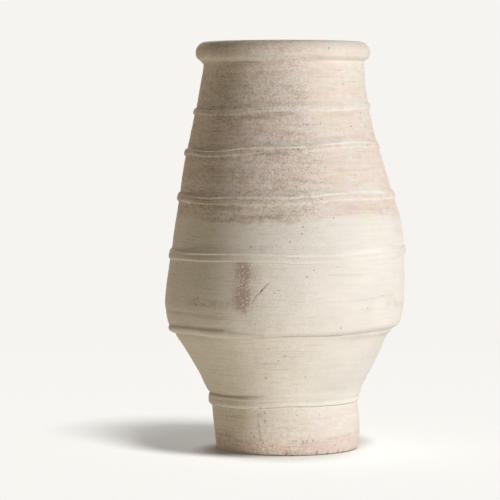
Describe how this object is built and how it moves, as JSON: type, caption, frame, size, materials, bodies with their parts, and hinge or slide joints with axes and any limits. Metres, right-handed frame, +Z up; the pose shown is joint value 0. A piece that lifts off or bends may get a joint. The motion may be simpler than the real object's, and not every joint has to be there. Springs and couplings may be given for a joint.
{
  "type": "pithos storage jar",
  "caption": "Tall clay storage jar with a rolled rim, swelling shoulder, keeled belly and narrow flat foot, raised in thrown sections with a clay band over every seam.",
  "frame": {"origin": "centre of the flat underside, on the jar's axis", "axes": "+Z up along the jar's axis to the mouth; +X to the side where the seam bands rise; the pictured front faces -Y"},
  "size_m": [0.4702, 0.4702, 0.8],
  "materials": {
    "cream_slip": "matt pale slip, brushed on in rings",
    "worn_slip": "matt slip worn through to pink clay",
    "band_slip": "matt pale slip, finger-smoothed",
    "bare_clay": "matt bare fired clay"
  },
  "bodies": {
    "root": {"base_slab": "bare_clay", "floor_coil": "bare_clay", "foot_wall": "cream_slip", "lower_wall": "cream_slip", "belly_wall": "cream_slip", "shoulder_wall": "cream_slip", "upper_shoulder_wall": "worn_slip", "collar_wall": "worn_slip", "neck_wall": "worn_slip", "rim_roll": "worn_slip", "foot_band": "band_slip", "keel_band": "band_slip", "belly_band": "band_slip", "shoulder_band": "band_slip", "collar_band": "band_slip", "neck_band": "band_slip"}
  },
  "joints": []
}
